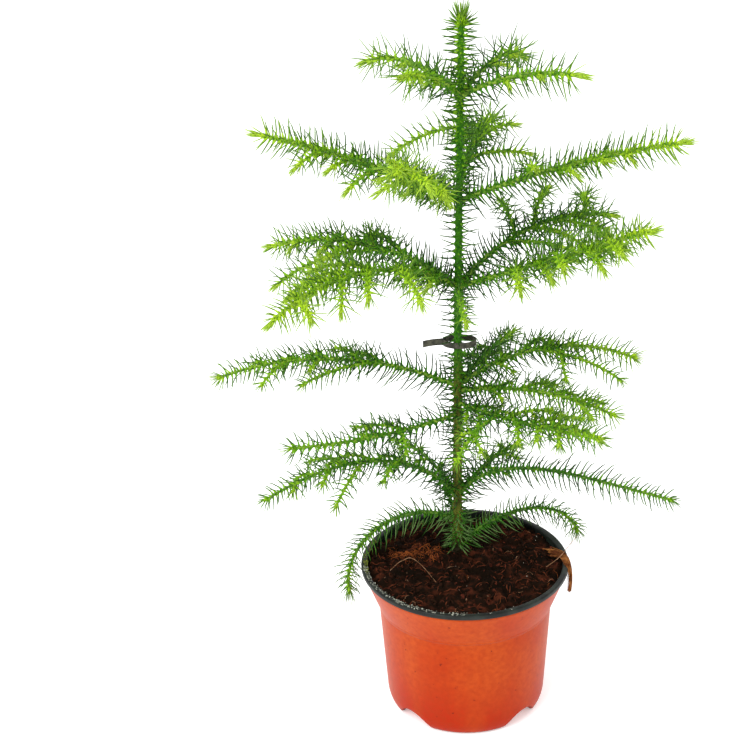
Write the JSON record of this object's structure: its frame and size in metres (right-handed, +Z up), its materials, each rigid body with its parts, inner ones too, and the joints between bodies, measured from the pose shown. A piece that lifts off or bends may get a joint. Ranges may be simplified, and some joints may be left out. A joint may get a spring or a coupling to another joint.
{
  "type": "potted norfolk island pine",
  "caption": "Young conifer in a tapered nursery pot: a slim upright trunk with tiers of arching boughs, needled side twigs, heaped soil and a soft band round the trunk.",
  "frame": {"origin": "centre of the pot's flat underside, which stands on the ground", "axes": "+Z up along the trunk, +X to the plant's right as seen from its front, -Y to the front"},
  "size_m": [0.258, 0.196, 0.414],
  "materials": {
    "pot": "satin orange-brown moulded plastic, dark grey-green inside and on the lip",
    "soil": "damp dark peat with red-brown fibres",
    "bark": "matt green-brown young bark with leaf bases",
    "needles": "semi-matt green needles, darker near the trunk and lime at the tips",
    "tie": "dull dark grey-brown soft band"
  },
  "bodies": {
    "root": {"bough_1_back_right": "bark", "bough_1_front_left": "bark", "bough_1_left": "bark", "bough_1_right": "bark", "bough_2_back": "bark", "bough_2_front": "bark", "bough_2_left": "bark", "bough_2_right": "bark", "bough_3_back_left": "bark", "bough_3_back_right": "bark", "bough_3_front": "bark", "bough_3_front_left": "bark", "bough_3_front_right": "bark", "bough_4_back": "bark", "bough_4_back_right": "bark", "bough_4_front_left": "bark", "bough_4_front_right": "bark", "bough_4_left": "bark", "bough_4_right": "bark", "bough_5_back_left": "bark", "bough_5_back_right": "bark", "bough_5_left": "bark", "bough_5_right": "bark", "bough_6_back": "bark", "bough_6_left": "bark", "bough_6_right": "bark", "pot": "pot", "soil": "soil", "spray_1_back_right": "needles", "spray_1_front_left": "needles", "spray_1_left": "needles", "spray_1_right": "needles", "spray_2_back": "needles", "spray_2_front": "needles", "spray_2_left": "needles", "spray_2_right": "needles", "spray_3_back_left": "needles", "spray_3_back_right": "needles", "spray_3_front": "needles", "spray_3_front_left": "needles", "spray_3_front_right": "needles", "spray_4_back": "needles", "spray_4_back_right": "needles", "spray_4_front_left": "needles", "spray_4_front_right": "needles", "spray_4_left": "needles", "spray_4_right": "needles", "spray_5_back_left": "needles", "spray_5_back_right": "needles", "spray_5_left": "needles", "spray_5_right": "needles", "spray_6_back": "needles", "spray_6_left": "needles", "spray_6_right": "needles", "tie": "tie", "trunk": "bark"}
  },
  "joints": []
}
